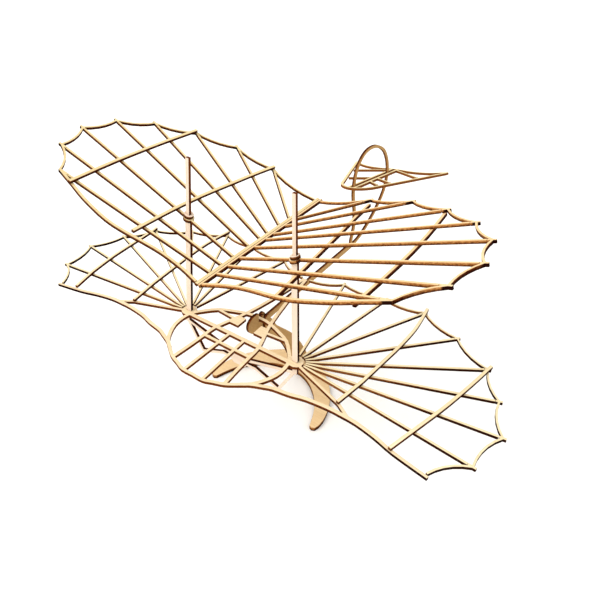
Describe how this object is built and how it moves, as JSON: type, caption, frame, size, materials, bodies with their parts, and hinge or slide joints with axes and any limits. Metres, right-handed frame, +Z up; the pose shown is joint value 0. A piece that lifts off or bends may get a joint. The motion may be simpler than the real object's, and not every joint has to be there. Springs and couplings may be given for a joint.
{
  "type": "skeleton biplane glider display model",
  "caption": "Laser-cut plywood skeleton of an early biplane hang glider with scalloped fan-ribbed wings, leaf fin and tailplane, lifting off a horseshoe display stand.",
  "frame": {"origin": "under the middle of the overall box, on the surface the stand's foot rests on", "axes": "+X towards the pilot's left wing tips, +Y from nose to tail, +Z up"},
  "size_m": [0.5064, 0.4084, 0.2868],
  "materials": {
    "rib_ply": "unfinished laser-cut plywood with darkened edges",
    "spar_ply": "unfinished laser-cut plywood with darkened edges",
    "rim_ply": "unfinished laser-cut plywood with darkened edges",
    "frame_ply": "unfinished laser-cut plywood with darkened edges",
    "post_ply": "unfinished laser-cut plywood with darkened edges",
    "tail_ply": "unfinished laser-cut plywood with darkened edges",
    "stand_ply": "unfinished laser-cut plywood with darkened edges"
  },
  "bodies": {
    "stand": {"stand_base": "stand_ply", "stand_cheek_left": "stand_ply", "stand_cheek_right": "stand_ply", "stand_upright": "stand_ply"},
    "glider": {"keel_with_fin": "tail_ply", "lower_inner_spar_left": "spar_ply", "lower_inner_spar_right": "spar_ply", "lower_main_frame": "frame_ply", "lower_outer_spar_left": "spar_ply", "lower_outer_spar_right": "spar_ply", "lower_rib_left_2": "rib_ply", "lower_rib_left_3": "rib_ply", "lower_rib_left_4": "rib_ply", "lower_rib_left_5": "rib_ply", "lower_rib_left_6": "rib_ply", "lower_rib_left_7": "rib_ply", "lower_rib_left_8": "rib_ply", "lower_rib_left_9": "rib_ply", "lower_rib_right_2": "rib_ply", "lower_rib_right_3": "rib_ply", "lower_rib_right_4": "rib_ply", "lower_rib_right_5": "rib_ply", "lower_rib_right_6": "rib_ply", "lower_rib_right_7": "rib_ply", "lower_rib_right_8": "rib_ply", "lower_rib_right_9": "rib_ply", "lower_trailing_edge_left": "rim_ply", "lower_trailing_edge_right": "rim_ply", "post_collar_left": "post_ply", "post_collar_right": "post_ply", "post_left": "post_ply", "post_right": "post_ply", "tailplane": "tail_ply", "underframe_truss": "post_ply", "upper_centre_bar_left": "spar_ply", "upper_centre_bar_right": "spar_ply", "upper_inner_spar_left": "spar_ply", "upper_inner_spar_right": "spar_ply", "upper_outer_spar_left": "spar_ply", "upper_outer_spar_right": "spar_ply", "upper_rib_left_1": "rib_ply", "upper_rib_left_2": "rib_ply", "upper_rib_left_3": "rib_ply", "upper_rib_left_4": "rib_ply", "upper_rib_left_5": "rib_ply", "upper_rib_left_6": "rib_ply", "upper_rib_left_7": "rib_ply", "upper_rib_left_8": "rib_ply", "upper_rib_right_1": "rib_ply", "upper_rib_right_2": "rib_ply", "upper_rib_right_3": "rib_ply", "upper_rib_right_4": "rib_ply", "upper_rib_right_5": "rib_ply", "upper_rib_right_6": "rib_ply", "upper_rib_right_7": "rib_ply", "upper_rib_right_8": "rib_ply", "upper_rim_left": "rim_ply", "upper_rim_right": "rim_ply"}
  },
  "joints": [
    {"name": "glider_lift_off", "type": "slide", "parent": "stand", "child": "glider", "axis": [0, 0, 1], "range_m": [0, 0.03]}
  ]
}
